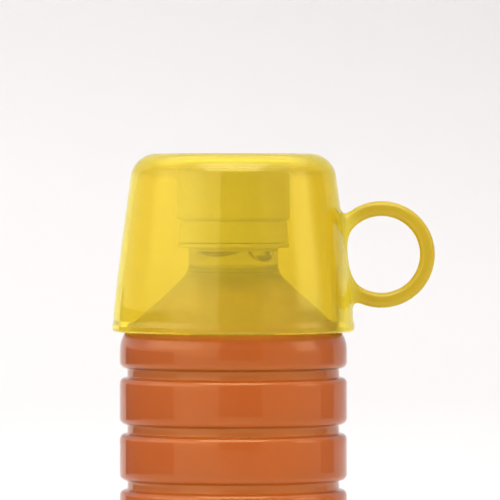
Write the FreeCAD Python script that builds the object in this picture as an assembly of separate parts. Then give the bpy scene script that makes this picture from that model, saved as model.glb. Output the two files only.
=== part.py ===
"""Detergent dispenser bottle: a ribbed PET bottle with a 28 mm class threaded neck, a screw closure with
its liner and tamper band, the detergent inside, and a dosing cup with a ring handle turned over the neck.

Frame: millimetres, +Z up along the bottle's axis, origin at the centre of the base's standing plane,
+X towards the cup's ring handle.
"""

import FreeCAD
import Part
import math
import os

V = FreeCAD.Vector
UP = V(0, 0, 1)

# ---------------------------------------------------------------- driving dimensions
BODY_R = 33.5  # outside radius of the ribs
WALL = 0.4  # blown wall of the body
HEEL_R = 5.5  # round between the base and the body
FOOT_IN_R = 26.0  # inner edge of the flat standing ring
PUSH_UP = 6.5  # height of the base's raised centre
GATE_R = 2.2  # stub of the moulding gate, in the middle of the base

GROOVE_COUNT = 8
GROOVE_PITCH = 16.5
GROOVE_FIRST_Z = 22.0  # centre of the lowest groove
GROOVE_HALF = 1.3  # half the height of a groove, without its rounds
GROOVE_DEPTH = 2.25
RIB_ROUND = 1.85
GROOVE_ROUND = 0.38

SHOULDER_Z = 148.45  # where the lines of the body and of the shoulder cone cross
SHOULDER_ROUND = 9.5
SHOULDER_SLOPE = 1.10  # radius lost per millimetre of height

NECK_R = 13.15  # plain neck under the support ring
NECK_BLEND = 6.8
BORE_R = 10.9
RING_R = 16.5  # support ring: 33 mm across, as on 28 mm necks
RING_Z = 174.25  # underside of the support ring
RING_H = 1.4
RING_ROUND = 0.45
FINISH_FOOT_Z = 173.25  # the moulded finish starts here, on the blown neck
FINISH_R = 12.95  # wall that the thread stands on
LAND_Z = 197.3  # sealing land at the mouth
BEAD_R = 14.3  # bead that keeps the tamper band on the neck
BEAD_Z = 180.0

THREAD_PITCH = 3.18
NECK_THREAD_R = 14.2
CAP_THREAD_R = 13.25
NECK_THREAD_TURNS = 1.5
CAP_THREAD_TURNS = 1.4
NECK_THREAD_ROOT = 2.3  # width of the ridge where it leaves the wall
NECK_THREAD_CREST = 0.9
CAP_THREAD_ROOT = 1.75
CAP_THREAD_CREST = 0.6
THREAD_SUNK = 0.15  # how far a ridge's root lies inside its wall
NECK_THREAD_Z = 188.6  # centre of the neck thread's lower end
THREAD_DROP = 1.5  # how far the cap's thread runs below the neck's

CAP_R = 16.7
CAP_TOP_Z = 200.0
CAP_PANEL = 1.5
CAP_BORE_R = 14.45
SKIRT_Z = 182.3  # lower edge of the cap's skirt
COLLAR_Z = 184.9  # the knurls end here, above a smooth collar
CAP_EDGE_ROUND = 1.4
SKIRT_CHAMFER = 0.8  # the skirt narrows to the tamper band
KNURL_COUNT = 120
KNURL_DEPTH = 0.25

LINER_R = 14.2
BAND_TOP_R = 15.65
BAND_FOOT_R = 16.4
BAND_WALL = 0.9
BAND_GAP = 0.2  # between the skirt and the band, where the bridges broke
BRIDGE_COUNT = 12

FILL_Z = 173.8  # level of the detergent, in the neck
FILL_GAP = 0.1

CUP_TOP_Z = 202.0
CUP_RIM_Z = 149.6
CUP_MID_Z = 172.4  # the side is slightly barrelled: its upper and lower drafts meet here
CUP_MID_R = 33.4
CUP_DRAFT_ABOVE = 0.138  # radius lost per millimetre of height
CUP_DRAFT_BELOW = 0.112
CUP_BARREL = 1100.0  # radius of the barrelled side
CUP_LIP_R = 35.7
CUP_WALL = 1.7
CUP_FLOOR = 2.0
CUP_ROUND = 7.65

HANDLE_X = 43.6  # centre of the ring handle
HANDLE_Z = 172.3
HANDLE_R = 13.5  # to the middle of its section
HANDLE_HALF_T = 2.2  # half its thickness, seen from the side
HANDLE_HALF_W = 3.4  # half its width, across the finger
HANDLE_ROUND = 1.6  # rounds of its section


# ---------------------------------------------------------------- building blocks
def rounded_face(corners):
    """A face in the XZ plane from corners (x, z, round), each corner rounded by a tangent arc."""
    n = len(corners)
    points = [V(c[0], 0, c[1]) for c in corners]
    cuts = []
    for i, (corner, point) in enumerate(zip(corners, points)):
        radius = corner[2] if len(corner) > 2 else 0.0
        if radius <= 0:
            cuts.append((point, point, None))
            continue
        before = (points[i - 1] - point).normalize()
        after = (points[(i + 1) % n] - point).normalize()
        half = before.getAngle(after) / 2
        reach = radius / math.tan(half)
        inwards = (before + after).normalize()
        middle = point + inwards * (radius / math.sin(half) - radius)
        cuts.append((point + before * reach, point + after * reach, middle))
    edges = []
    for i, (start, end, middle) in enumerate(cuts):
        if middle is not None:
            edges.append(Part.Arc(start, middle, end).toShape())
        following = cuts[(i + 1) % n][0]
        if end.distanceToPoint(following) > 1e-6:
            edges.append(Part.LineSegment(end, following).toShape())
    return Part.Face(Part.Wire(edges))


def turned(corners):
    """The solid that a profile sweeps about the bottle's axis."""
    return rounded_face(corners).revolve(V(0, 0, 0), UP, 360)


def one_solid(shape):
    """The shape as a single clean solid."""
    shape = shape.removeSplitter()
    solids = shape.Solids
    if len(solids) != 1:
        raise ValueError(f"expected one solid, got {len(solids)}")
    return solids[0]


def around(count, shape):
    """Copies of a shape, evenly spaced about the bottle's axis."""
    copies = []
    for i in range(count):
        copy = shape.copy()
        copy.rotate(V(0, 0, 0), UP, 360.0 * i / count)
        copies.append(copy)
    return copies


def helical_ridge(root_r, crest_r, widths, z, turns):
    """A right-hand thread ridge of trapezoid section, whose lower end is centred at z."""
    root_w, crest_w = widths
    helix = Part.makeHelix(THREAD_PITCH, THREAD_PITCH * turns, root_r)
    helix.translate(V(0, 0, z))
    section = Part.makePolygon(
        [
            V(root_r, 0, z - root_w / 2),
            V(crest_r, 0, z - crest_w / 2),
            V(crest_r, 0, z + crest_w / 2),
            V(root_r, 0, z + root_w / 2),
            V(root_r, 0, z - root_w / 2),
        ]
    )
    ridge = Part.Wire(helix).makePipeShell([section], True, True)
    return Part.Solid(ridge) if ridge.ShapeType != "Solid" else ridge


# ---------------------------------------------------------------- bottle
BORE_FOOT_Z = 166.2  # where the lines of the bore and of the shoulder's inside cross
SHOULDER_DROP = 0.2  # the shoulder's inside lies this much lower than its outside
FOOT_WALL = 0.6
CENTRE_WALL = 1.5  # the base's unstretched middle is thicker
BASE_GROOVES = 10
BASE_GROOVE_R = 1.3
BASE_GROOVE_DEPTH = 0.4


def groove_corners(inset):
    """Corners of the body's grooves, from the base up, on a surface that lies inset inside the outside."""
    corners = []
    half = GROOVE_HALF + inset
    rib = BODY_R - inset
    floor = rib - GROOVE_DEPTH
    for k in range(GROOVE_COUNT):
        z = GROOVE_FIRST_Z + k * GROOVE_PITCH
        corners += [
            (rib, z - half, RIB_ROUND - inset),
            (floor, z - half, GROOVE_ROUND + inset),
            (floor, z + half, GROOVE_ROUND + inset),
            (rib, z + half, RIB_ROUND - inset),
        ]
    return corners


def base_corners():
    """Underside of the base, from its raised centre out to the heel."""
    return [
        (0, PUSH_UP - 0.4),
        (GATE_R, PUSH_UP - 0.4, 0.15),
        (GATE_R, PUSH_UP, 0.2),
        (7.0, PUSH_UP, 4.0),
        (FOOT_IN_R, 0, 0.8),
        (BODY_R, 0, HEEL_R),
    ]


def inside_corners(gap):
    """The bottle's inner surface from the bore down to the centre of the base, gap further in."""
    body = BODY_R - WALL - gap
    upper = [
        (BORE_R - gap, BORE_FOOT_Z - gap, 5.0),
        (body, SHOULDER_Z - SHOULDER_DROP - gap, SHOULDER_ROUND - WALL),
    ]
    base = [
        (body, FOOT_WALL + gap, HEEL_R - WALL - gap),
        (FOOT_IN_R + 0.3, FOOT_WALL + gap, 0.8),
        (7.5, PUSH_UP + CENTRE_WALL + gap, 3.0),
        (0, PUSH_UP + CENTRE_WALL + gap),
    ]
    return upper + groove_corners(WALL + gap)[::-1] + base


def base_grooves():
    """Stiffening grooves that fan out under the base, as one shape to cut away."""
    start, end = V(9.0, 0, 5.8), V(24.0, 0, 0.7)
    along = (end - start).normalize()
    below = V(along.z, 0, -along.x)
    start = start + below * (BASE_GROOVE_R - BASE_GROOVE_DEPTH)
    groove = Part.makeCylinder(BASE_GROOVE_R, 15.8, start, along)
    return Part.makeCompound(around(BASE_GROOVES, groove))


def make_bottle():
    """The blown part of the bottle, up to the plain neck."""
    neck_z = SHOULDER_Z + (BODY_R - NECK_R) / SHOULDER_SLOPE
    neck = [
        (BODY_R, SHOULDER_Z, SHOULDER_ROUND),
        (NECK_R, neck_z, NECK_BLEND),
        (NECK_R, FINISH_FOOT_Z),
        (BORE_R, FINISH_FOOT_Z),
    ]
    shell = turned(base_corners() + groove_corners(0) + neck + inside_corners(0))
    return one_solid(shell.cut(base_grooves()))


def make_bottle_finish():
    """The moulded part of the neck: support ring, tamper bead, thread and sealing land."""
    ring_top_z = RING_Z + RING_H
    wall = turned(
        [
            (BORE_R, FINISH_FOOT_Z),
            (NECK_R, FINISH_FOOT_Z),
            (NECK_R, RING_Z, 0.5),
            (RING_R, RING_Z, RING_ROUND),
            (RING_R, ring_top_z, RING_ROUND),
            (FINISH_R, ring_top_z, 0.4),
            (FINISH_R, BEAD_Z, 0.3),
            (BEAD_R, BEAD_Z + 0.6, 0.2),
            (BEAD_R, BEAD_Z + 1.3, 0.3),
            (FINISH_R, BEAD_Z + 2.3, 0.3),
            (FINISH_R, LAND_Z, 0.5),
            (BORE_R, LAND_Z, 0.4),
        ]
    )
    root_r = FINISH_R - THREAD_SUNK
    widths = (NECK_THREAD_ROOT, NECK_THREAD_CREST)
    thread = helical_ridge(root_r, NECK_THREAD_R, widths, NECK_THREAD_Z, NECK_THREAD_TURNS)
    return one_solid(wall.fuse(thread))


# ---------------------------------------------------------------- detergent
def make_detergent():
    """The detergent as a solid that fills the bottle up to its level in the neck."""
    surface = [(0, FILL_Z), (BORE_R - FILL_GAP, FILL_Z)]
    return turned(surface + inside_corners(FILL_GAP))


# ---------------------------------------------------------------- closure
def knurled_drum():
    """The cap's side: one shallow convex rib beside the next, under a rounded top edge."""
    step = 2 * math.pi / KNURL_COUNT
    valley_r = CAP_R - KNURL_DEPTH

    def at(radius, turn):
        return V(radius * math.cos(turn * step), radius * math.sin(turn * step), COLLAR_Z)

    ribs = []
    for i in range(KNURL_COUNT):
        ribs.append(Part.Arc(at(valley_r, i), at(CAP_R, i + 0.5), at(valley_r, i + 1)).toShape())
    drum = Part.Face(Part.Wire(ribs)).extrude(V(0, 0, CAP_TOP_Z - COLLAR_Z))
    edge_r = CAP_R + 0.1  # just outside the ribs' crests
    below_z = COLLAR_Z - 1
    edge = turned([(0, below_z), (edge_r, below_z), (edge_r, CAP_TOP_Z, CAP_EDGE_ROUND), (0, CAP_TOP_Z)])
    return drum.common(edge)


def make_screw_cap():
    collar = turned(
        [
            (0, SKIRT_Z),
            (CAP_R - SKIRT_CHAMFER, SKIRT_Z, 0.1),
            (CAP_R, SKIRT_Z + SKIRT_CHAMFER, 0.4),
            (CAP_R, COLLAR_Z + 0.1, 0.1),
            (0, COLLAR_Z + 0.1),
        ]
    )
    ceiling_z = CAP_TOP_Z - CAP_PANEL
    lip_r = LINER_R - 0.4  # a snap lip keeps the liner under the panel
    hollow = turned(
        [
            (0, SKIRT_Z - 1),
            (CAP_BORE_R, SKIRT_Z - 1),
            (CAP_BORE_R, LAND_Z - 1.2, 0.2),
            (lip_r, LAND_Z - 0.8, 0.15),
            (lip_r, LAND_Z - 0.4, 0.15),
            (CAP_BORE_R, LAND_Z - 0.1, 0.1),
            (CAP_BORE_R, ceiling_z, 0.1),
            (0, ceiling_z),
        ]
    )
    thread_z = NECK_THREAD_Z - THREAD_DROP
    root_r = CAP_BORE_R + THREAD_SUNK
    widths = (CAP_THREAD_ROOT, CAP_THREAD_CREST)
    thread = helical_ridge(root_r, CAP_THREAD_R, widths, thread_z, CAP_THREAD_TURNS)
    return one_solid(knurled_drum().fuse(collar).cut(hollow).fuse(thread))


def make_cap_liner():
    """The soft disc between the cap's top panel and the bottle's sealing land."""
    top_z = CAP_TOP_Z - CAP_PANEL
    return turned([(0, LAND_Z), (LINER_R, LAND_Z, 0.15), (LINER_R, top_z, 0.15), (0, top_z)])


def make_tamper_band():
    top_z = SKIRT_Z - BAND_GAP
    foot_z = RING_Z + RING_H + 0.2
    ring = turned(
        [
            (BAND_TOP_R - BAND_WALL, top_z, 0.1),
            (15.0, BEAD_Z - 2.0, 0.2),
            (13.9, BEAD_Z - 0.3, 0.1),  # the flap that catches under the neck's bead
            (13.5, BEAD_Z - 0.5, 0.1),
            (15.0, foot_z + 0.2, 0.2),
            (15.3, foot_z, 0.1),
            (BAND_FOOT_R, foot_z, 0.25),
            (BAND_FOOT_R - 0.1, foot_z + 0.9, 0.5),
            (BAND_TOP_R, top_z, 0.15),
        ]
    )
    width, thick, sunk = 0.7, 0.45, 0.35
    height = sunk + BAND_GAP - 0.05
    corner = V(BAND_TOP_R - 0.65, -width / 2, top_z - sunk)
    stub = Part.makeBox(thick, width, height, corner)
    return one_solid(ring.multiFuse(around(BRIDGE_COUNT, stub)))


# ---------------------------------------------------------------- dosing cup
CUP_FOOT_Z = CUP_RIM_Z + 7.0  # the side's draft ends here, above the lip
CUP_FOOT_R = CUP_MID_R + CUP_DRAFT_BELOW * (CUP_MID_Z - CUP_FOOT_Z)
CUP_WAIST_R = 35.36  # the slight waist above the lip
LIP_ROUND = 0.75
RECESS_R = 18.5
RECESS = 0.3


def cup_side(inset, top_z):
    """The cup's side from above the lip to the edge of its top, on a surface inset inside the outside."""
    top_r = CUP_MID_R - CUP_DRAFT_ABOVE * (top_z - CUP_MID_Z)
    return [
        (CUP_FOOT_R - inset, CUP_FOOT_Z, 20.0),
        (CUP_MID_R - inset, CUP_MID_Z, CUP_BARREL),
        (top_r - inset, top_z, CUP_ROUND - inset),
    ]


def ring_handle():
    """The ring handle: a rounded bar swept round the ring's own centre, parallel to Y."""
    near, far = HANDLE_R - HANDLE_HALF_T, HANDLE_R + HANDLE_HALF_T
    section = rounded_face(
        [
            (HANDLE_X + near, -HANDLE_HALF_W, HANDLE_ROUND),
            (HANDLE_X + far, -HANDLE_HALF_W, HANDLE_ROUND),
            (HANDLE_X + far, HANDLE_HALF_W, HANDLE_ROUND),
            (HANDLE_X + near, HANDLE_HALF_W, HANDLE_ROUND),
        ]
    )
    section.rotate(V(0, 0, 0), V(1, 0, 0), 90)
    section.translate(V(0, 0, HANDLE_Z))
    return section.revolve(V(HANDLE_X, 0, HANDLE_Z), V(0, 1, 0), 360)


def make_dosing_cup():
    lip = [
        (CUP_FOOT_R + 0.35 - CUP_WALL, CUP_RIM_Z, LIP_ROUND),
        (CUP_LIP_R, CUP_RIM_Z, LIP_ROUND),
        (CUP_LIP_R, CUP_RIM_Z + 1.8, 1.0),
        (CUP_WAIST_R, CUP_RIM_Z + 3.3, 1.5),
    ]
    top = [
        (RECESS_R + 0.4, CUP_TOP_Z, 0.1),
        (RECESS_R, CUP_TOP_Z - RECESS, 0.1),
        (0, CUP_TOP_Z - RECESS),
    ]
    ceiling_z = CUP_TOP_Z - CUP_FLOOR
    inside = [(0, ceiling_z)] + cup_side(CUP_WALL, ceiling_z)[::-1]
    shell = turned(lip + cup_side(0, CUP_TOP_Z) + top + inside)
    below_z = CUP_RIM_Z - 1
    core_top_z = CUP_TOP_Z - CUP_FLOOR / 2
    core_side = cup_side(CUP_WALL / 2, core_top_z)
    core = turned([(0, below_z), (CUP_FOOT_R, below_z)] + core_side + [(0, core_top_z)])
    return one_solid(shell.fuse(ring_handle().cut(core)))  # the ring ends inside the wall


# ---------------------------------------------------------------- output
NODES = {
    "bottle": make_bottle,
    "bottle_finish": make_bottle_finish,
    "detergent_fill": make_detergent,
    "tamper_band": make_tamper_band,
    "cap_liner": make_cap_liner,
    "screw_cap": make_screw_cap,
    "dosing_cup": make_dosing_cup,
}


def main():
    os.makedirs("parts", exist_ok=True)
    for name, make in NODES.items():
        shape = make()
        if not shape.isValid():
            raise ValueError(f"{name} isn't a valid solid")
        shape.exportStep(f"parts/{name}.step")
        print(f"{name}: {shape.Volume / 1000:.2f} ml, {len(shape.Faces)} faces")


main()
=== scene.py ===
"""Looks of the detergent bottle: clear PET over an amber liquid, a white screw closure, and a translucent
yellow dosing cup turned over the neck. Metres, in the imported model's frame: +Z up the bottle's axis, +X
towards the cup's ring handle.
"""

import math

import bmesh
import bpy
import numpy as np
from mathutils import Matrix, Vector


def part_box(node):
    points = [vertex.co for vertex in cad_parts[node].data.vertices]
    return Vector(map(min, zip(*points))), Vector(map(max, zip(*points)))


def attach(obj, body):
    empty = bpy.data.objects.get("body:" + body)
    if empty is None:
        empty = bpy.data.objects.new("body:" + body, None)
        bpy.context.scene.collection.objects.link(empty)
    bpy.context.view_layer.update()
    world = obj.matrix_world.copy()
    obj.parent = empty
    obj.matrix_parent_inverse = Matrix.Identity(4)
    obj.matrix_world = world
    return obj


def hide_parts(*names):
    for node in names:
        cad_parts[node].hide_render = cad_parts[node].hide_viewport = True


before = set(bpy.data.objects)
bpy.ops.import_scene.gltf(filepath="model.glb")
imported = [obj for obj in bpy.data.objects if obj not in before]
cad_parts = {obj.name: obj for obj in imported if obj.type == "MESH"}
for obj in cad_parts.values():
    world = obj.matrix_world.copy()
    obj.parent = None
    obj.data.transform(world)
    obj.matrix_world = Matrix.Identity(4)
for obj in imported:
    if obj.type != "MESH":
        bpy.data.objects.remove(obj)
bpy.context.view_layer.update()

MM = 0.001
LOOK_AT = Vector((0, 0, 0.175))

# ---------------------------------------------------------------- sizes, from the frame
bottle_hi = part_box("bottle")[1]
finish_lo, finish_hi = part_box("bottle_finish")
fill_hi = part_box("detergent_fill")[1]
band_lo, band_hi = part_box("tamper_band")
liner_lo, liner_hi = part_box("cap_liner")
cap_lo, cap_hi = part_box("screw_cap")
cup_lo, cup_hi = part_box("dosing_cup")

BODY_R = bottle_hi.x
FINISH_FOOT_Z, LAND_Z = finish_lo.z, finish_hi.z
FILL_Z = fill_hi.z
CAP_R = cap_hi.x
SKIRT_Z, CAP_TOP_Z = cap_lo.z, cap_hi.z
BAND_FOOT_Z, BAND_FOOT_R = band_lo.z, band_hi.x
CUP_RIM_Z, CUP_TOP_Z = cup_lo.z, cup_hi.z
LIP_R = -cup_lo.x
HANDLE_OUT_X = cup_hi.x

WALL = 0.4 * MM
GROOVE_COUNT = 8
GROOVE_PITCH = 16.5 * MM
GROOVE_FIRST_Z = 22.0 * MM
GROOVE_HALF = 1.3 * MM
GROOVE_DEPTH = 2.25 * MM
RIB_ROUND = 1.85 * MM
GROOVE_ROUND = 0.38 * MM
HEEL_R = 5.5 * MM
FOOT_IN_R = 26.0 * MM
PUSH_UP = 6.5 * MM

SHOULDER_Z = 148.45 * MM
SHOULDER_ROUND = 9.5 * MM
SHOULDER_SLOPE = 1.10
NECK_R = 13.15 * MM
BORE_R = 10.9 * MM
BORE_FOOT_Z = 166.2 * MM
RING_R = 16.5 * MM
RING_Z = 174.25 * MM
RING_H = 1.4 * MM
FINISH_R = 12.95 * MM
BEAD_R = 14.3 * MM
BEAD_Z = 180.0 * MM
THREAD_PITCH = 3.18 * MM
THREAD_R = 14.2 * MM
THREAD_Z = 188.6 * MM
THREAD_TURNS = 1.5
CAP_THREAD_R = 13.25 * MM
CAP_BORE_R = 14.45 * MM
CAP_PANEL = 1.5 * MM
COLLAR_Z = 184.9 * MM
KNURL_COUNT = 120
KNURL_DEPTH = 0.03 * MM  # so shallow that it shows only faintly through the cup
LINER_R = 14.2 * MM
BAND_TOP_R = 15.65 * MM
BRIDGE_COUNT = 12
BRIDGE_GAP = 0.1 * MM  # between the cap's skirt and the band, where the bridges broke
BASE_GROOVES = 10
BASE_GROOVE_IN_R, BASE_GROOVE_OUT_R = 9 * MM, 24 * MM
BASE_GROOVE_DEPTH = 0.4 * MM
BASE_SLOPE = 0.36  # of the underside between the standing ring and the pushed-up middle
BAND_TOP_Z = SKIRT_Z - BRIDGE_GAP

INTO_WALL = 0.1 * MM  # the detergent's overlap with the wall, so that no air shows between them
DEEP_Z, PALE_Z = 145 * MM, 170 * MM  # the detergent's colour changes between these heights
BUBBLES = [  # x, y, radius and height of the centre over the detergent's surface
    (-4.1 * MM, -7.5 * MM, 12.9 * MM, 10.8 * MM),
    (8.0 * MM, -6.5 * MM, 4.8 * MM, 1.2 * MM),
]

CUP_WALL = 1.7 * MM
CUP_FLOOR = 2.0 * MM
CUP_ROUND = 7.65 * MM
CUP_MID_Z, CUP_MID_R = 172.4 * MM, 33.4 * MM
CUP_FOOT_Z, CUP_FOOT_R = 156.6 * MM, 35.17 * MM
CUP_DRAFT_ABOVE = 0.138
CUP_BARREL = 1100 * MM
HANDLE_X, HANDLE_Z = 43.6 * MM, 172.3 * MM
HANDLE_HALF_T, HANDLE_HALF_W = 2.2 * MM, 3.4 * MM
HANDLE_R = HANDLE_OUT_X - HANDLE_X - HANDLE_HALF_T
HANDLE_ROUND = 1.6 * MM
FOOT_BLEND = 3.2 * MM  # reach of the rounds where the handle's feet meet the cup's side
FINE_HALF = 14  # degrees each side of the handle where the cup's mesh is fine
FINE_STEP, COARSE_STEP = 0.7, 2.3055  # degrees
FINE_COUNT, COARSE_COUNT = 41, 143
OFF_SIDE_SCALE = 0.993  # turns a distance across the cup's axis into one square to its side
ROUND_SIDES = 160  # flats round a lathed piece
SHELL_SIDES = BASE_GROOVES * 13
SHARP_ANGLE = math.radians(40)


# ---------------------------------------------------------------- outlines
def outline(corners, closed=False, arc_step=math.radians(9), run=2.0 * MM):
    """Points (r, z) along corners (r, z, round): rounds become arcs and long runs are divided."""
    pts = [np.array(c[:2], float) for c in corners]
    n = len(pts)
    path = []
    for i, corner in enumerate(corners):
        radius = corner[2] if len(corner) > 2 else 0.0
        if radius <= 0 or (not closed and i in (0, n - 1)):
            path.append([pts[i]])
            continue
        before = pts[i - 1] - pts[i]
        after = pts[(i + 1) % n] - pts[i]
        before, after = before / np.linalg.norm(before), after / np.linalg.norm(after)
        half = math.acos(np.clip(before @ after, -1, 1)) / 2
        reach = radius / math.tan(half)
        centre = pts[i] + (before + after) / np.linalg.norm(before + after) * radius / math.sin(half)
        start, end = pts[i] + before * reach - centre, pts[i] + after * reach - centre
        sweep = math.atan2(start[0] * end[1] - start[1] * end[0], start @ end)
        steps = max(2, math.ceil(abs(sweep) / arc_step), math.ceil(abs(sweep) * radius / run))
        arc = []
        for k in range(steps + 1):
            a = sweep * k / steps
            turn = np.array([[math.cos(a), -math.sin(a)], [math.sin(a), math.cos(a)]])
            arc.append(centre + turn @ start)
        path.append(arc)
    points = []
    for i, arc in enumerate(path):
        points += arc
        if i == n - 1 and not closed:
            break
        end, following = arc[-1], path[(i + 1) % n][0]
        gap = np.linalg.norm(following - end)
        parts = max(1, math.ceil(gap / run))
        points += [end + (following - end) * k / parts for k in range(1, parts)]
    kept = [points[0]]
    for p in points[1:]:
        if np.linalg.norm(p - kept[-1]) > 1e-7:
            kept.append(p)
    if closed and np.linalg.norm(kept[0] - kept[-1]) < 1e-7:
        kept.pop()
    return kept


def even_angles(count):
    return [2 * math.pi * i / count for i in range(count)]


def unshaped(r, z, a):
    return r, z


def lathed_bmesh(points, closed=False, angles=None, shaped=unshaped):
    """A closed surface of revolution about Z. An open outline starts and ends on the axis.

    shaped(r, z, angle) moves a point in its own half plane.
    """
    angles = angles or even_angles(ROUND_SIDES)
    bm = bmesh.new()

    def vertex(r, z, a):
        r, z = shaped(r, z, a)
        return bm.verts.new((r * math.cos(a), r * math.sin(a), z))

    rings = []
    for r, z in points:
        rings.append([vertex(r, z, a) for a in angles] if r > 1e-7 else [vertex(0, z, 0)])
    count = len(angles)
    pairs = list(zip(rings, rings[1:])) + ([(rings[-1], rings[0])] if closed else [])
    for lower, upper in pairs:
        for i in range(count):
            j = (i + 1) % count
            corners = [lower[i % len(lower)], lower[j % len(lower)], upper[j % len(upper)], upper[i % len(upper)]]
            face = []
            for v in corners:
                if v not in face:
                    face.append(v)
            bm.faces.new(face)
    bmesh.ops.recalc_face_normals(bm, faces=bm.faces)
    return bm


def to_object(bm, name, sharp=SHARP_ANGLE):
    mesh = bpy.data.meshes.new(name)
    bm.to_mesh(mesh)
    bm.free()
    mesh.shade_smooth()
    mesh.set_sharp_from_angle(angle=sharp)
    piece = bpy.data.objects.new(name, mesh)
    bpy.context.scene.collection.objects.link(piece)
    return piece


def combine(piece, other, operation):
    """Boolean of two closed pieces. The other one is used up."""
    modifier = piece.modifiers.new("combine", "BOOLEAN")
    modifier.operation = operation
    modifier.solver = "MANIFOLD"
    modifier.object = other
    depsgraph = bpy.context.evaluated_depsgraph_get()
    mesh = bpy.data.meshes.new_from_object(piece.evaluated_get(depsgraph))
    piece.modifiers.clear()
    piece.data = mesh
    bpy.data.objects.remove(other)
    mesh.shade_smooth()
    mesh.set_sharp_from_angle(angle=SHARP_ANGLE)


def skin(bm, rings):
    """Faces between rings of four points each, and over both ends."""
    for lower, upper in zip(rings, rings[1:]):
        for i in range(4):
            j = (i + 1) % 4
            bm.faces.new((lower[i], lower[j], upper[j], upper[i]))
    bm.faces.new(rings[0])
    bm.faces.new(rings[-1])


def helical_ridge(root_r, crest_r, widths, z, turns, name):
    """A thread ridge of trapezoid section, whose lower end is centred at z and whose ends taper off."""
    bm = bmesh.new()
    steps = int(72 * turns)
    rings = []
    for k in range(steps + 1):
        a = 2 * math.pi * turns * k / steps
        rise = z + THREAD_PITCH * turns * k / steps
        fade = min(1.0, 0.05 + k / 10, 0.05 + (steps - k) / 10)
        tip = root_r + (crest_r - root_r) * fade
        section = [(root_r, -widths[0] / 2), (tip, -widths[1] / 2), (tip, widths[1] / 2), (root_r, widths[0] / 2)]
        rings.append([bm.verts.new((r * math.cos(a), r * math.sin(a), rise + h)) for r, h in section])
    skin(bm, rings)
    bmesh.ops.recalc_face_normals(bm, faces=bm.faces)
    return to_object(bm, name, math.radians(30))


def place(piece, body, slot, material, *nodes):
    """Puts a finished piece on its CAD body, in the place of its CAD nodes."""
    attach(piece, body)
    if nodes:
        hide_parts(*nodes)
    piece.data.materials.clear()
    piece.data.materials.append(material)
    return piece


# ---------------------------------------------------------------- materials
def new_material(name, **values):
    """A Principled material with plain values on its own sockets."""
    m = bpy.data.materials.new(name)
    m.use_nodes = True
    shader = m.node_tree.nodes["Principled BSDF"]
    for socket, value in values.items():
        shader.inputs[socket.replace("_", " ")].default_value = value
    return m, m.node_tree, shader


def noise(tree, scale, detail=3.0):
    """A noise texture in the piece's own metres."""
    coords = tree.nodes.new("ShaderNodeTexCoord")
    texture = tree.nodes.new("ShaderNodeTexNoise")
    texture.inputs["Scale"].default_value = scale
    texture.inputs["Detail"].default_value = detail
    tree.links.new(coords.outputs["Object"], texture.inputs["Vector"])
    return texture.outputs["Fac"]


def along(tree, direction):
    """How far a point lies along a direction, in the piece's own metres."""
    coords = tree.nodes.new("ShaderNodeTexCoord")
    dot = tree.nodes.new("ShaderNodeVectorMath")
    dot.operation = "DOT_PRODUCT"
    dot.inputs[1].default_value = direction
    tree.links.new(coords.outputs["Object"], dot.inputs[0])
    return dot.outputs["Value"]


def calculate(tree, operation, a, b):
    """A math node on a source and a second source or plain number."""
    node = tree.nodes.new("ShaderNodeMath")
    node.operation = operation
    tree.links.new(a, node.inputs[0])
    if isinstance(b, (int, float)):
        node.inputs[1].default_value = b
    else:
        tree.links.new(b, node.inputs[1])
    return node.outputs["Value"]


def ramp(tree, source, stops):
    node = tree.nodes.new("ShaderNodeValToRGB")
    tree.links.new(source, node.inputs["Fac"])
    elements = node.color_ramp.elements
    elements[0].position, elements[0].color = stops[0][0], (*stops[0][1], 1)
    elements[1].position, elements[1].color = stops[-1][0], (*stops[-1][1], 1)
    for position, colour in stops[1:-1]:
        elements.new(position).color = (*colour, 1)
    return node.outputs["Color"]


def span(tree, source, low, high, start=0.0, end=1.0, smooth=False):
    """The source's start to end spread over low to high."""
    node = tree.nodes.new("ShaderNodeMapRange")
    node.interpolation_type = "SMOOTHSTEP" if smooth else "LINEAR"
    node.inputs["From Min"].default_value = start
    node.inputs["From Max"].default_value = end
    node.inputs["To Min"].default_value = low
    node.inputs["To Max"].default_value = high
    tree.links.new(source, node.inputs["Value"])
    return node.outputs["Result"]


def bump(tree, shader, height, distance, strength=1.0):
    node = tree.nodes.new("ShaderNodeBump")
    node.inputs["Distance"].default_value = distance
    node.inputs["Strength"].default_value = strength
    tree.links.new(height, node.inputs["Height"])
    tree.links.new(node.outputs["Normal"], shader.inputs["Normal"])


def cup_material():
    """Translucent yellow, deeper in the solid bar of the handle than in the thin wall."""
    m, tree, shader = new_material("translucent_yellow", IOR=1.49, Specular_Tint=(1.0, 0.98, 0.82, 1),
                                   Coat_Weight=1.0, Coat_IOR=1.12, Coat_Roughness=0.2,
                                   Coat_Tint=(1.0, 0.98, 0.55, 1))
    across = calculate(tree, "ADD", along(tree, (1, 0, 0)), span(tree, noise(tree, 40), -1.0 * MM, 1.0 * MM))
    stops = [(0.0, (0.98, 0.835, 0.18)), (0.35, (0.98, 0.825, 0.17)), (0.7, (0.80, 0.59, 0.07)),
             (1.0, (0.73, 0.52, 0.06))]
    tint = ramp(tree, span(tree, across, 0, 1, 30 * MM, 40 * MM), stops)
    tree.links.new(tint, shader.inputs["Base Color"])
    at_handle = span(tree, across, 0.82, 0.30, 30.5 * MM, 33.0 * MM)
    at_top = span(tree, along(tree, (0, 0, 1)), 0.82, 0.62, 196 * MM, 201 * MM)
    tree.links.new(calculate(tree, "MINIMUM", at_handle, at_top), shader.inputs["Transmission Weight"])
    tree.links.new(span(tree, noise(tree, 90), 0.02, 0.06), shader.inputs["Roughness"])
    bump(tree, shader, noise(tree, 60, 1.0), 0.02 * MM)
    return m


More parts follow.
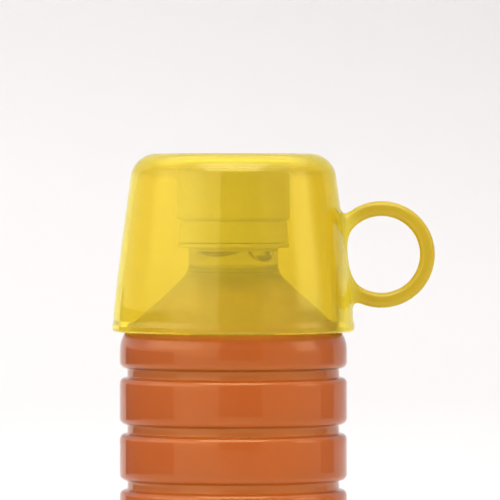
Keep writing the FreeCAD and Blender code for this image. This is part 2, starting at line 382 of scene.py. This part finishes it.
def pet_material(name, transmission):
    m, tree, shader = new_material(name, IOR=1.5, Transmission_Weight=transmission,
                                   Specular_Tint=(1.0, 0.80, 0.38, 1))
    tint = ramp(tree, noise(tree, 30), [(0.3, (0.96, 0.97, 0.97)), (0.7, (0.99, 0.99, 0.99))])
    tree.links.new(tint, shader.inputs["Base Color"])
    tree.links.new(span(tree, noise(tree, 120), 0.01, 0.04), shader.inputs["Roughness"])
    bump(tree, shader, noise(tree, 35, 1.0), 0.01 * MM)
    return m


def from_axis(tree):
    """How far a point lies from the piece's Z axis."""
    coords = tree.nodes.new("ShaderNodeTexCoord")
    flat = tree.nodes.new("ShaderNodeVectorMath")
    flat.operation = "MULTIPLY"
    flat.inputs[1].default_value = (1, 1, 0)
    length = tree.nodes.new("ShaderNodeVectorMath")
    length.operation = "LENGTH"
    tree.links.new(coords.outputs["Object"], flat.inputs[0])
    tree.links.new(flat.outputs["Vector"], length.inputs[0])
    return length.outputs["Value"]


def mix(tree, factor, first, second):
    """The first colour where the factor is 0 and the second where it is 1."""
    node = tree.nodes.new("ShaderNodeMix")
    node.data_type = "RGBA"
    a, b = [socket for socket in node.inputs if socket.type == "RGBA"]
    tree.links.new(factor, node.inputs["Factor"])
    tree.links.new(first, a)
    tree.links.new(second, b)
    return next(socket for socket in node.outputs if socket.type == "RGBA")


def detergent_material():
    """Amber liquid, paler where it stands thinner: up the shoulder and above all in the neck.
    Some of the colour is painted light and shade. The grooves are painted lighter against the shade the ribs cast in
    them. A strip just under the cup's rim is painted lighter against the rim's shade. A band just below the neck is
    painted darker as shade. Part of the neck's paleness is painted light that lifts the shade under the cap.
    """
    m, tree, shader = new_material("amber_detergent", IOR=1.35)
    height = calculate(tree, "ADD", along(tree, (0, 0, 1)), span(tree, noise(tree, 60, 2.0), -0.15 * MM, 0.15 * MM))
    upwards = span(tree, height, 0, 1, DEEP_Z, PALE_Z)
    body = (0.92, 0.185, 0.012)
    # Stops up to 0.12 paint light on the strip under the cup's rim. Stops 0.77 to 0.86 paint a darker band of shade
    # below the neck. From 0.88 the neck is paler, partly from thinner liquid and partly from painted light.
    stops = [(0.0, body), (0.05, (0.98, 0.195, 0.02)), (0.12, (1.0, 0.24, 0.04)), (0.22, (0.95, 0.61, 0.14)),
             (0.36, (0.95, 0.82, 0.36)), (0.77, (0.95, 0.79, 0.34)), (0.86, (0.94, 0.75, 0.32)),
             (0.88, (1.0, 0.93, 0.60)), (1.0, (1.0, 0.93, 0.60))]
    # The groove floors get a lighter tint: painted light, standing in for the light the grooves catch against the
    # shade of the ribs.
    in_groove = span(tree, from_axis(tree), 1.0, 0.0, BODY_R - GROOVE_DEPTH + 0.4 * MM, BODY_R - 1.0 * MM)
    in_body = span(tree, height, 1.0, 0.0, 143 * MM, 144 * MM)
    groove_light_mask = calculate(tree, "MULTIPLY", in_groove, in_body)
    groove_painted_light = ramp(tree, noise(tree, 60, 2.0), [(0.3, (1.0, 0.26, 0.03)), (0.7, (1.0, 0.28, 0.035))])
    tint = mix(tree, groove_light_mask, ramp(tree, upwards, stops), groove_painted_light)
    tree.links.new(tint, shader.inputs["Base Color"])
    shares = [(0.0, 0.6), (0.08, 0.6), (0.22, 0.42), (0.6, 0.42), (0.82, 0.4), (0.90, 0.45), (0.95, 0.88)]
    thinner = ramp(tree, upwards, [(position, (share,) * 3) for position, share in shares])
    tree.links.new(thinner, shader.inputs["Transmission Weight"])
    clear = span(tree, height, 0.30, 0.02, BORE_FOOT_Z, BORE_FOOT_Z + 1.1 * MM)
    tree.links.new(calculate(tree, "ADD", clear, span(tree, noise(tree, 25), 0.0, 0.05)), shader.inputs["Roughness"])
    return m


def closure_material():
    m, tree, shader = new_material("white_closure", IOR=1.5)
    tint = ramp(tree, noise(tree, 150), [(0.3, (0.80, 0.80, 0.78)), (0.7, (0.84, 0.84, 0.82))])
    tree.links.new(tint, shader.inputs["Base Color"])
    tree.links.new(span(tree, noise(tree, 400), 0.28, 0.40), shader.inputs["Roughness"])
    bump(tree, shader, noise(tree, 1500), 0.01 * MM)
    return m


def liner_material():
    m, tree, shader = new_material("soft_liner", IOR=1.5)
    tint = ramp(tree, noise(tree, 300), [(0.3, (0.62, 0.72, 0.78)), (0.7, (0.68, 0.78, 0.82))])
    tree.links.new(tint, shader.inputs["Base Color"])
    tree.links.new(span(tree, noise(tree, 500), 0.45, 0.60), shader.inputs["Roughness"])
    return m


CUP = cup_material()
PET = pet_material("clear_pet", 1.0)
FINISH_PET = pet_material("moulded_pet", 0.25)
DETERGENT = detergent_material()
CLOSURE = closure_material()
LINER = liner_material()


# ---------------------------------------------------------------- bottle
def groove_corners(inset):
    corners = []
    half = GROOVE_HALF + inset
    rib = BODY_R - inset
    floor = rib - GROOVE_DEPTH
    for k in range(GROOVE_COUNT):
        z = GROOVE_FIRST_Z + k * GROOVE_PITCH
        corners += [
            (rib, z - half, RIB_ROUND - inset),
            (floor, z - half, GROOVE_ROUND + inset),
            (floor, z + half, GROOVE_ROUND + inset),
            (rib, z + half, RIB_ROUND - inset),
        ]
    return corners


def inside_corners(gap):
    """The bottle's inner surface from the bore down to the centre of the base, gap further in."""
    body = BODY_R - WALL - gap
    upper = [
        (BORE_R - gap, BORE_FOOT_Z - gap, 5.0 * MM),
        (body, SHOULDER_Z - 0.2 * MM - gap, SHOULDER_ROUND - WALL),
    ]
    base = [
        (body, 0.6 * MM + gap, HEEL_R - WALL - gap),
        (FOOT_IN_R + 0.3 * MM, 0.6 * MM + gap, 0.8 * MM),
        (7.5 * MM, PUSH_UP + 1.5 * MM + gap, 3.0 * MM),
        (0, PUSH_UP + 1.5 * MM + gap),
    ]
    return upper + groove_corners(WALL + gap)[::-1] + base


def make_bottle():
    neck_z = SHOULDER_Z + (BODY_R - NECK_R) / SHOULDER_SLOPE
    base = [
        (0, PUSH_UP - 0.4 * MM),
        (2.2 * MM, PUSH_UP - 0.4 * MM, 0.15 * MM),
        (2.2 * MM, PUSH_UP, 0.2 * MM),
        (7.0 * MM, PUSH_UP, 4.0 * MM),
        (FOOT_IN_R, 0, 0.8 * MM),
        (BODY_R, 0, HEEL_R),
    ]
    neck = [
        (BODY_R, SHOULDER_Z, SHOULDER_ROUND),
        (NECK_R, neck_z, 6.8 * MM),
        (NECK_R, FINISH_FOOT_Z),
        (BORE_R, FINISH_FOOT_Z),
    ]
    whole = outline(base + groove_corners(0) + neck + inside_corners(0), arc_step=math.radians(13))
    bm = lathed_bmesh(whole, angles=even_angles(SHELL_SIDES), shaped=with_base_grooves)
    place(to_object(bm, "bottle_shell"), "bottle", "clear_pet", PET, "bottle")


def make_bottle_finish():
    ring_top_z = RING_Z + RING_H
    corners = [
        (BORE_R, FINISH_FOOT_Z),
        (NECK_R, FINISH_FOOT_Z),
        (NECK_R, RING_Z, 0.5 * MM),
        (RING_R, RING_Z, 0.45 * MM),
        (RING_R, ring_top_z, 0.45 * MM),
        (FINISH_R, ring_top_z, 0.4 * MM),
        (FINISH_R, BEAD_Z, 0.3 * MM),
        (BEAD_R, BEAD_Z + 0.6 * MM, 0.2 * MM),
        (BEAD_R, BEAD_Z + 1.3 * MM, 0.3 * MM),
        (FINISH_R, BEAD_Z + 2.3 * MM, 0.3 * MM),
        (FINISH_R, LAND_Z, 0.5 * MM),
        (BORE_R, LAND_Z, 0.4 * MM),
    ]
    bm = lathed_bmesh(outline(corners, closed=True), closed=True)
    place(to_object(bm, "neck_finish"), "bottle", "clear_pet", FINISH_PET, "bottle_finish")
    widths = (2.3 * MM, 0.9 * MM)
    thread = helical_ridge(FINISH_R - 0.1 * MM, THREAD_R, widths, THREAD_Z, THREAD_TURNS, "neck_thread")
    place(thread, "bottle", "clear_pet", FINISH_PET)


def with_base_grooves(r, z, a):
    """Stiffening grooves that fan out under the base."""
    within = BASE_GROOVE_IN_R < r < BASE_GROOVE_OUT_R
    underside = within and z < PUSH_UP and z < (FOOT_IN_R - r) * BASE_SLOPE
    if not underside:
        return r, z
    step = 2 * math.pi / BASE_GROOVES
    off = ((a + step / 2) % step - step / 2) * r
    depth = max(0.0, BASE_GROOVE_DEPTH - off * off / (2.2 * MM))
    return r, z + depth


def with_bubbles(r, z, a):
    """The detergent's surface: a meniscus at the wall, and the dents of two bubbles that sit side by side."""
    if z < FILL_Z - 0.01 * MM:
        return r, z
    x, y = r * math.cos(a), r * math.sin(a)
    dent = 0.0
    for cx, cy, radius, lift in BUBBLES:
        below = radius ** 2 - (x - cx) ** 2 - (y - cy) ** 2
        if below > 0:
            dent = max(dent, math.sqrt(below) - lift)
    return r, z - dent


def make_detergent():
    surface = outline([(0, FILL_Z), (BORE_R, FILL_Z)], run=0.3 * MM)
    side = outline([(BORE_R + INTO_WALL, FILL_Z)] + inside_corners(-INTO_WALL))
    bm = lathed_bmesh(surface + side, shaped=with_bubbles)
    return place(to_object(bm, "detergent"), "bottle", "detergent", DETERGENT, "detergent_fill")


# ---------------------------------------------------------------- closure
def with_knurls(r, z, a):
    """Shallow convex ribs side by side round the cap, from its collar to its top edge."""
    if r < CAP_BORE_R + 0.5 * MM or z < COLLAR_Z:
        return r, z
    rib = (a * KNURL_COUNT / (2 * math.pi)) % 1.0
    return r - KNURL_DEPTH * (2 * rib - 1) ** 2, z


def make_cap():
    lip_r = LINER_R - 0.4 * MM
    corners = [
        (0, CAP_TOP_Z),
        (CAP_R, CAP_TOP_Z, 1.4 * MM),
        (CAP_R, COLLAR_Z + 0.02 * MM),
        (CAP_R, COLLAR_Z - 0.02 * MM),
        (CAP_R, SKIRT_Z + 0.8 * MM, 0.4 * MM),
        (CAP_R - 0.8 * MM, SKIRT_Z, 0.1 * MM),
        (CAP_BORE_R, SKIRT_Z),
        (CAP_BORE_R, LAND_Z - 1.2 * MM, 0.2 * MM),
        (lip_r, LAND_Z - 0.8 * MM, 0.15 * MM),
        (lip_r, LAND_Z - 0.4 * MM, 0.15 * MM),
        (CAP_BORE_R, LAND_Z - 0.1 * MM, 0.1 * MM),
        (CAP_BORE_R, CAP_TOP_Z - CAP_PANEL),
        (0, CAP_TOP_Z - CAP_PANEL),
    ]
    angles = even_angles(KNURL_COUNT * 6)
    bm = lathed_bmesh(outline(corners, arc_step=math.radians(15)), angles=angles, shaped=with_knurls)
    place(to_object(bm, "cap"), "cap", "closure_white", CLOSURE, "screw_cap")
    widths = (1.75 * MM, 0.6 * MM)
    thread = helical_ridge(CAP_BORE_R + 0.1 * MM, CAP_THREAD_R, widths, THREAD_Z - 1.5 * MM, 1.4, "cap_thread")
    place(thread, "cap", "closure_white", CLOSURE)


def make_band():
    corners = [
        (BAND_TOP_R - 0.9 * MM, BAND_TOP_Z, 0.1 * MM),
        (15.0 * MM, BEAD_Z - 2.0 * MM, 0.2 * MM),
        (13.9 * MM, BEAD_Z - 0.3 * MM, 0.1 * MM),
        (13.5 * MM, BEAD_Z - 0.5 * MM, 0.1 * MM),
        (15.0 * MM, BAND_FOOT_Z + 0.2 * MM, 0.2 * MM),
        (15.3 * MM, BAND_FOOT_Z, 0.1 * MM),
        (BAND_FOOT_R, BAND_FOOT_Z, 0.25 * MM),
        (BAND_FOOT_R - 0.1 * MM, BAND_FOOT_Z + 0.9 * MM, 0.5 * MM),
        (BAND_TOP_R, BAND_TOP_Z, 0.15 * MM),
    ]
    bm = lathed_bmesh(outline(corners, closed=True), closed=True)
    place(to_object(bm, "band"), "tamper_band", "closure_white", CLOSURE, "tamper_band")
    bm = bmesh.new()
    for a in even_angles(BRIDGE_COUNT):
        add_stub(bm, a)
    bmesh.ops.recalc_face_normals(bm, faces=bm.faces)
    place(to_object(bm, "band_bridges"), "tamper_band", "closure_white", CLOSURE)


def add_stub(bm, angle):
    """What is left of one broken bridge on the band's upper edge."""
    near, far, half = BAND_TOP_R - 0.65 * MM, BAND_TOP_R - 0.2 * MM, 0.35 * MM
    foot_z, tip_z = BAND_TOP_Z - 0.3 * MM, BAND_TOP_Z + 0.07 * MM
    out = Vector((math.cos(angle), math.sin(angle), 0))
    side = Vector((-math.sin(angle), math.cos(angle), 0))
    rings = []
    for z, shrink in ((foot_z, 1.0), (tip_z - 0.05 * MM, 0.85), (tip_z, 0.6)):
        middle = (near + far) / 2
        reach = (far - near) / 2 * shrink
        ring = []
        for u, v in ((-1, -1), (1, -1), (1, 1), (-1, 1)):
            ring.append(bm.verts.new(out * (middle + u * reach) + side * (v * half * shrink) + Vector((0, 0, z))))
        rings.append(ring)
    skin(bm, rings)


def make_liner():
    edge = 0.15 * MM
    corners = [(0, liner_lo.z), (LINER_R, liner_lo.z, edge), (LINER_R, liner_hi.z, edge), (0, liner_hi.z)]
    bm = lathed_bmesh(outline(corners))
    return place(to_object(bm, "liner"), "liner", "liner", LINER, "cap_liner")


# ---------------------------------------------------------------- dosing cup
def cup_side(inset, top_z):
    top_r = CUP_MID_R - CUP_DRAFT_ABOVE * (top_z - CUP_MID_Z)
    return [
        (CUP_FOOT_R - inset, CUP_FOOT_Z, 20 * MM),
        (CUP_MID_R - inset, CUP_MID_Z, CUP_BARREL),
        (top_r - inset, top_z, CUP_ROUND - inset),
    ]


def handle_bmesh():
    """The ring handle as a closed tube of rounded section."""
    t, w, round_r = HANDLE_HALF_T, HANDLE_HALF_W, HANDLE_ROUND
    section = outline([(-t, -w, round_r), (t, -w, round_r), (t, w, round_r), (-t, w, round_r)], closed=True,
                      run=0.5 * MM)
    count = len(section)
    bm = bmesh.new()
    rings = []
    for a in even_angles(300):
        ring = []
        for u, v in section:
            r = HANDLE_R + u
            ring.append(bm.verts.new((HANDLE_X + r * math.cos(a), v, HANDLE_Z + r * math.sin(a))))
        rings.append(ring)
    for a, b in zip(rings, rings[1:] + rings[:1]):
        for k in range(count):
            j = (k + 1) % count
            bm.faces.new((a[k], a[j], b[j], b[k]))
    bmesh.ops.recalc_face_normals(bm, faces=bm.faces)
    return bm


def off_side(p):
    """Distance of points from the cup's outer side, positive outside."""
    side = sorted(outline(cup_side(0, CUP_TOP_Z), run=0.5 * MM), key=lambda q: q[1])
    side_r = np.interp(p[:, 2], [q[1] for q in side], [q[0] for q in side])
    return (np.hypot(p[:, 0], p[:, 1]) - side_r) * OFF_SIDE_SCALE


def off_ring(p):
    """Distance of points from the ring handle's surface, positive outside."""
    u = np.abs(np.hypot(p[:, 0] - HANDLE_X, p[:, 2] - HANDLE_Z) - HANDLE_R) - HANDLE_HALF_T + HANDLE_ROUND
    v = np.abs(p[:, 1]) - HANDLE_HALF_W + HANDLE_ROUND
    return np.hypot(np.maximum(u, 0), np.maximum(v, 0)) + np.minimum(np.maximum(u, v), 0) - HANDLE_ROUND


def blend_feet(mesh):
    """Rounds the corners where the ring meets the cup's side, by moving both onto one smooth surface."""
    def blended(p):
        a, b = off_side(p), off_ring(p)
        near = np.maximum(FOOT_BLEND - np.abs(a - b), 0) / FOOT_BLEND
        return np.minimum(a, b) - near * near * FOOT_BLEND / 4

    flat = np.empty(len(mesh.vertices) * 3)
    mesh.vertices.foreach_get("co", flat)
    points = flat.reshape(-1, 3)
    chosen = (off_side(points) > -0.3 * MM) & (off_side(points) < FOOT_BLEND) & (off_ring(points) < FOOT_BLEND)
    p = points[chosen]
    step = 1e-6
    for _ in range(8):
        value = blended(p)
        slope = np.stack([(blended(p + step * axis) - value) / step for axis in np.eye(3)], axis=1)
        p -= slope * (value / np.maximum((slope ** 2).sum(axis=1), 0.2))[:, None]
    points[chosen] = p
    mesh.vertices.foreach_set("co", points.ravel())
    mesh.update()
    mesh.set_sharp_from_angle(angle=SHARP_ANGLE)


def make_cup():
    lip = [
        (CUP_FOOT_R + 0.35 * MM - CUP_WALL, CUP_RIM_Z, 0.75 * MM),
        (LIP_R, CUP_RIM_Z, 0.75 * MM),
        (LIP_R, CUP_RIM_Z + 1.8 * MM, 1.0 * MM),
        (35.36 * MM, CUP_RIM_Z + 3.3 * MM, 1.5 * MM),
    ]
    top = [
        (18.9 * MM, CUP_TOP_Z, 0.1 * MM),
        (18.5 * MM, CUP_TOP_Z - 0.3 * MM, 0.1 * MM),
        (0, CUP_TOP_Z - 0.3 * MM),
    ]
    ceiling_z = CUP_TOP_Z - CUP_FLOOR
    inside = [(0, ceiling_z)] + cup_side(CUP_WALL, ceiling_z)[::-1]
    whole = outline(inside + lip + cup_side(0, CUP_TOP_Z) + top, run=0.8 * MM)
    near_handle = [math.radians(-FINE_HALF + FINE_STEP * i) for i in range(FINE_COUNT)]
    elsewhere = [math.radians(FINE_HALF + COARSE_STEP * i) for i in range(1, COARSE_COUNT + 1)]
    cup = to_object(lathed_bmesh(whole, angles=near_handle + elsewhere), "dosing_cup_body")
    core_top_z = CUP_TOP_Z - CUP_FLOOR / 2
    below_z = CUP_RIM_Z - 1 * MM
    below = [(0, below_z), (CUP_FOOT_R, below_z)]
    inner = outline(below + cup_side(CUP_WALL / 2, core_top_z) + [(0, core_top_z)])
    core = to_object(lathed_bmesh(inner), "core")
    ring = to_object(handle_bmesh(), "ring")
    combine(ring, core, "DIFFERENCE")
    combine(cup, ring, "UNION")
    blend_feet(cup.data)
    return place(cup, "cup", "cup_yellow", CUP, "dosing_cup")


make_bottle()
make_bottle_finish()
make_detergent()
make_cap()
make_band()
make_liner()
make_cup()


# ---------------------------------------------------------------- stage, light and camera
def make_sweep():
    """A pale floor that curves up into a wall all round, far outside the object, painted darker up the wall and
    towards +X as shade.
    """
    corners = [(0, 0), (4.6, 0, 1.2), (4.6, 4.0)]
    bm = bmesh.new()
    points = outline(corners, arc_step=math.radians(4), run=0.4)
    rings = []
    for r, z in points:
        rings.append([bm.verts.new((r * math.cos(a), r * math.sin(a), z)) for a in even_angles(96)]
                     if r > 1e-6 else [bm.verts.new((0, 0, z))])
    for lower, upper in zip(rings, rings[1:]):
        for i in range(96):
            j = (i + 1) % 96
            if len(lower) == 1:
                bm.faces.new((lower[0], upper[i], upper[j]))
            else:
                bm.faces.new((lower[i], upper[i], upper[j], lower[j]))
    sweep = to_object(bm, "floor_sweep", math.radians(60))
    m, tree, shader = new_material("pale_floor", Roughness=0.9)
    # Painted shade: the colour darkens with height and towards +X.
    shade = calculate(tree, "ADD", along(tree, (0.25, 0, 1)), span(tree, noise(tree, 0.8), -0.02, 0.02))
    stops = [(0.0, (0.845, 0.84, 0.836)), (0.4, (0.80, 0.787, 0.783)), (1.0, (0.66, 0.645, 0.65))]
    tint = ramp(tree, span(tree, shade, 0, 1, -0.1, 0.45), stops)
    tree.links.new(tint, shader.inputs["Base Color"])
    sweep.data.materials.append(m)


def softbox(name, centre, target, size, radiance, edge=0.4, glint_only=False):
    """A glowing panel with soft edges, unseen by the camera. A glint_only one shows in glossy reflections alone."""
    bm = bmesh.new()
    w, h = size[0] / 2, size[1] / 2
    bm.faces.new([bm.verts.new((x, y, 0)) for x, y in ((-w, -h), (w, -h), (w, h), (-w, h))])
    panel = to_object(bm, name)
    panel.location = centre
    panel.rotation_euler = (Vector(target) - Vector(centre)).to_track_quat("Z", "Y").to_euler()
    m, tree, shader = new_material(name, Base_Color=(0, 0, 0, 1), Emission_Color=(1, 1, 1, 1),
                                   Emission_Strength=radiance)
    glow = None
    for axis, half in (((1, 0, 0), w), ((0, 1, 0), h)):
        off = calculate(tree, "ABSOLUTE", along(tree, axis), 0)
        fall = span(tree, off, 1, 0, half * (1 - edge), half, smooth=True)
        glow = calculate(tree, "MULTIPLY", fall, glow) if glow else fall
    tree.links.new(glow, shader.inputs["Alpha"])
    panel.data.materials.append(m)
    panel.visible_camera = False
    panel.visible_diffuse = panel.visible_transmission = not glint_only


def round_the_object(azimuth, elevation, distance):
    """A point seen from the cup at an azimuth (0 towards the camera, + to its right) and elevation."""
    a, e = math.radians(azimuth), math.radians(elevation)
    return Vector((math.sin(a) * math.cos(e), -math.cos(a) * math.cos(e), math.sin(e))) * distance + LOOK_AT


def make_card(name, azimuths, heights, distance, grey):
    """A curved grey card, a photographer's flag. Only reflections and soft light see it."""
    bm = bmesh.new()
    columns = []
    for k in range(9):
        a = math.radians(azimuths[0] + (azimuths[1] - azimuths[0]) * k / 8)
        x, y = math.sin(a) * distance, -math.cos(a) * distance
        columns.append([bm.verts.new((x, y, z)) for z in heights])
    for left, right in zip(columns, columns[1:]):
        bm.faces.new((left[0], right[0], right[1], left[1]))
    card = to_object(bm, name)
    m, tree, shader = new_material(name, Roughness=0.9)
    tint = ramp(tree, noise(tree, 2.0), [(0.3, (grey * 0.95,) * 3), (0.7, (grey * 1.05,) * 3)])
    tree.links.new(tint, shader.inputs["Base Color"])
    card.data.materials.append(m)
    card.visible_camera = card.visible_transmission = card.visible_shadow = False


def make_lights():
    world = bpy.data.worlds.new("studio")
    world.use_nodes = True
    background = world.node_tree.nodes["Background"]
    background.inputs["Color"].default_value = (1.0, 0.99, 0.985, 1)
    background.inputs["Strength"].default_value = 1.75
    bpy.context.scene.world = world
    softbox("left_softbox", round_the_object(-66, 22, 1.2), LOOK_AT, (2.1, 0.9), 2.7, edge=0.7)
    softbox("left_wall", round_the_object(-40, 17, 2.2), LOOK_AT, (2.1, 1.4), 1.4, edge=0.06)
    softbox("right_softbox", round_the_object(80, 17, 2.0), LOOK_AT, (1.3, 1.2), 2.4, edge=0.6)
    softbox("top_softbox", (0, -0.45, 1.5), (0, -0.2, 0), (1.15, 1.3), 2.3)
    softbox("top_glint", round_the_object(0, 62, 1.3), LOOK_AT, (1.5, 1.1), 5.0, edge=0.25, glint_only=True)
    make_card("front_flag", (-14, 29), (-0.2, 2.2), 2.6, 0.2)
    make_card("right_flag", (99, 122), (0.0, 0.9), 1.6, 0.3)
    make_card("left_flag", (-140, -62), (0.0, 0.24), 1.4, 0.2)


def make_camera():
    data = bpy.data.cameras.new("camera")
    data.sensor_width = 36.0
    data.lens = 504.0
    data.clip_end = 20.0
    camera = bpy.data.objects.new("camera", data)
    bpy.context.scene.collection.objects.link(camera)
    camera.location = (0.0049, -2.0615, 0.2107)
    target = Vector((0.0049, 0, 0.1736))
    camera.rotation_euler = (target - camera.location).to_track_quat("-Z", "Y").to_euler()
    bpy.context.scene.camera = camera


make_sweep()
make_lights()
make_camera()
bpy.context.scene.view_settings.view_transform = "Standard"
